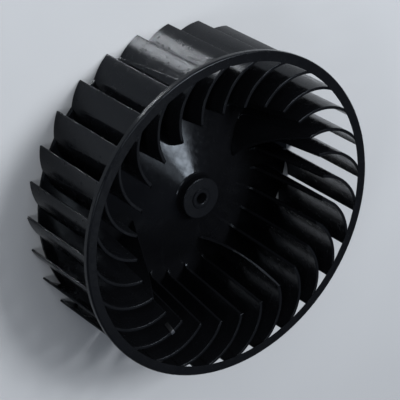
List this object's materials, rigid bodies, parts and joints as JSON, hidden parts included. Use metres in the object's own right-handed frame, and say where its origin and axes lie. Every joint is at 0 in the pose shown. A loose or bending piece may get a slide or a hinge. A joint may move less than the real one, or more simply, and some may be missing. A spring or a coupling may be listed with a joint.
{
  "type": "dryer fan impeller",
  "caption": "Open centrifugal fan wheel for a tumble dryer: curved blades on a dished disc, tied by a front ring, with a bored boss and four webs.",
  "frame": {"origin": "on the wheel's axis, in the plane of its back end", "axes": "+Z along the wheel's axis, out of the open side; +X through the inner corner of one of the four long blades"},
  "size_m": [0.18, 0.18, 0.06],
  "materials": {
    "black_plastic": "satin"
  },
  "bodies": {
    "root": {"impeller": "black_plastic"}
  },
  "joints": []
}
